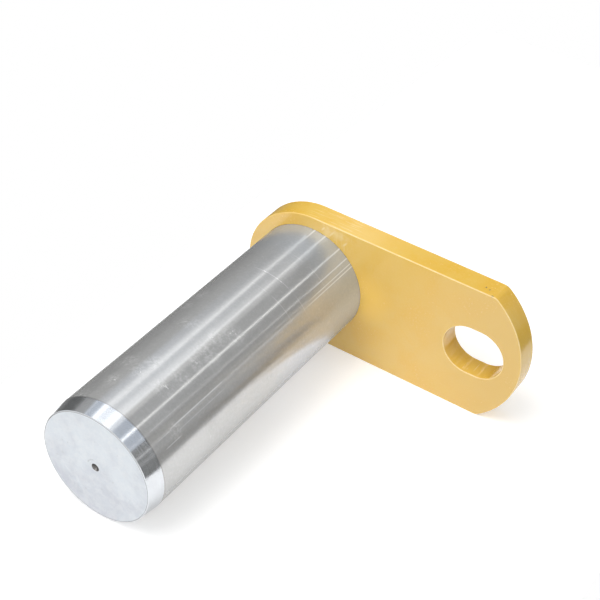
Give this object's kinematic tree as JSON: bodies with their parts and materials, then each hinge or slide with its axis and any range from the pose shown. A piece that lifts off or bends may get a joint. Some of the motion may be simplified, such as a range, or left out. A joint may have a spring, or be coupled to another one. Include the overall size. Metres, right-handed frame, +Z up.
{
  "type": "link pin",
  "caption": "Turned steel linkage pin with a tapered lead-in end, welded to a painted flag plate that has a slot for a keeper bolt.",
  "frame": {"origin": "on the pin's axis, at the inner face of the flag plate, where the pin's free journal begins", "axes": "-Y along the pin towards its free end, +X along the flag plate towards its slot, +Z up across the plate's width, as it lies on the plate's long edge"},
  "size_m": [0.2062, 0.2353, 0.0974],
  "materials": {
    "ground_steel": "turned and ground, bright, with light handling marks",
    "yellow_paint": "satin yellow paint on profile-cut plate",
    "painted_weld": "satin yellow paint over a rippled weld bead"
  },
  "bodies": {
    "root": {"pin": "ground_steel", "flag_plate": "yellow_paint", "weld_bead": "painted_weld"}
  },
  "joints": []
}
